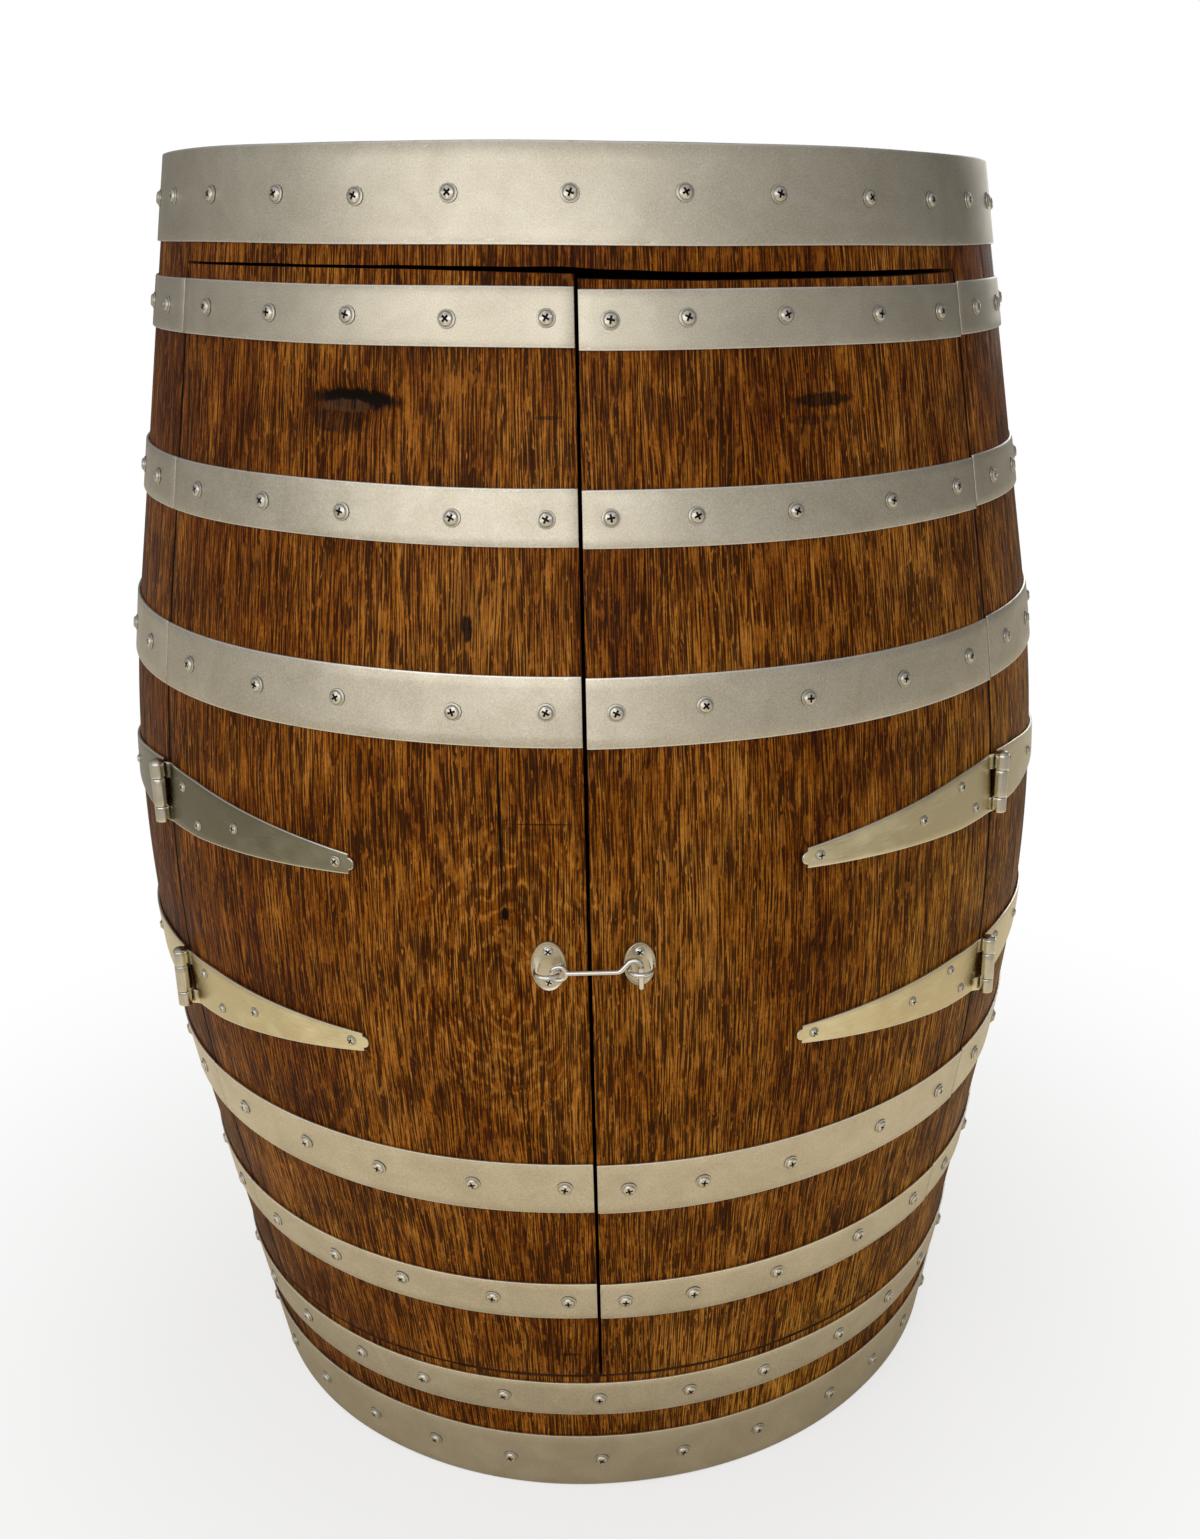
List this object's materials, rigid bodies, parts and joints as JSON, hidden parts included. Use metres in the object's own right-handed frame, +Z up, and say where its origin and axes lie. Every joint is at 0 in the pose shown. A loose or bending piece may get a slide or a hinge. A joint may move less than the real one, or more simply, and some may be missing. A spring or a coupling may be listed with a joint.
{
  "type": "barrel bar cabinet",
  "caption": "Upright oak wine barrel whose curved front opens as a pair of strap-hinged doors with a cabin hook, with a shelf for bottles and glasses inside.",
  "frame": {"origin": "on the floor at the barrel's axis", "axes": "+Z up along the barrel's axis, the doors face -Y, +X to the right of someone who faces them"},
  "size_m": [0.7009, 0.7221, 0.938],
  "materials": {
    "varnished_oak": "dark varnished oak, satin",
    "inside_oak": "oiled oak, matt",
    "hoop_steel": "satin galvanised strip",
    "hinge_steel": "satin zinc plate",
    "hook_chrome": "polished",
    "screw_steel": "satin zinc plate"
  },
  "bodies": {
    "cabinet": {"cabinet_staves": "varnished_oak", "bung": "inside_oak", "upper_front_staves": "varnished_oak", "lower_front_staves": "varnished_oak", "lower_side_stave": "varnished_oak", "bottom_head": "inside_oak", "top_head": "inside_oak", "shelf": "inside_oak", "shelf_cleats": "inside_oak", "upper_chime_hoop": "hoop_steel", "lower_quarter_hoop": "hoop_steel", "lower_chime_hoop": "hoop_steel", "upper_quarter_hoop_back": "hoop_steel", "upper_inner_hoop_back": "hoop_steel", "upper_bilge_hoop_back": "hoop_steel", "lower_bilge_hoop_back": "hoop_steel", "lower_inner_hoop_back": "hoop_steel", "left_upper_frame_leaf": "hinge_steel", "left_lower_frame_leaf": "hinge_steel", "right_upper_frame_leaf": "hinge_steel", "right_lower_frame_leaf": "hinge_steel", "left_upper_hinge_pin": "hinge_steel", "left_lower_hinge_pin": "hinge_steel", "right_upper_hinge_pin": "hinge_steel", "right_lower_hinge_pin": "hinge_steel", "cabinet_hinge_screws": "screw_steel"},
    "left_door": {"left_door_staves": "varnished_oak", "upper_quarter_hoop_left": "hoop_steel", "upper_inner_hoop_left": "hoop_steel", "upper_bilge_hoop_left": "hoop_steel", "lower_bilge_hoop_left": "hoop_steel", "lower_inner_hoop_left": "hoop_steel", "left_upper_door_leaf": "hinge_steel", "left_lower_door_leaf": "hinge_steel", "left_door_hinge_screws": "screw_steel", "left_rosette": "hook_chrome", "left_staple": "hook_chrome", "left_rosette_screws": "screw_steel"},
    "right_door": {"right_door_staves": "varnished_oak", "right_door_short_stave": "varnished_oak", "upper_quarter_hoop_right": "hoop_steel", "upper_inner_hoop_right": "hoop_steel", "upper_bilge_hoop_right": "hoop_steel", "lower_bilge_hoop_right": "hoop_steel", "lower_inner_hoop_right": "hoop_steel", "right_upper_door_leaf": "hinge_steel", "right_lower_door_leaf": "hinge_steel", "right_door_hinge_screws": "screw_steel", "right_rosette": "hook_chrome", "right_staple": "hook_chrome", "right_rosette_screws": "screw_steel"},
    "hook": {"hook": "hook_chrome"}
  },
  "joints": [
    {"name": "left_door_swing", "type": "hinge", "parent": "cabinet", "child": "left_door", "pos_m": [-0.29129, -0.20396, 0.46075], "axis": [0, 0, -1], "range_deg": [0, 170]},
    {"name": "right_door_swing", "type": "hinge", "parent": "cabinet", "child": "right_door", "pos_m": [0.28399, -0.21401, 0.46075], "axis": [0, 0, 1], "range_deg": [0, 170]},
    {"name": "hook_swing", "type": "hinge", "parent": "left_door", "child": "hook", "pos_m": [-0.01868, -0.3585, 0.4665], "axis": [0, -1, 0], "range_deg": [0, 150]}
  ]
}
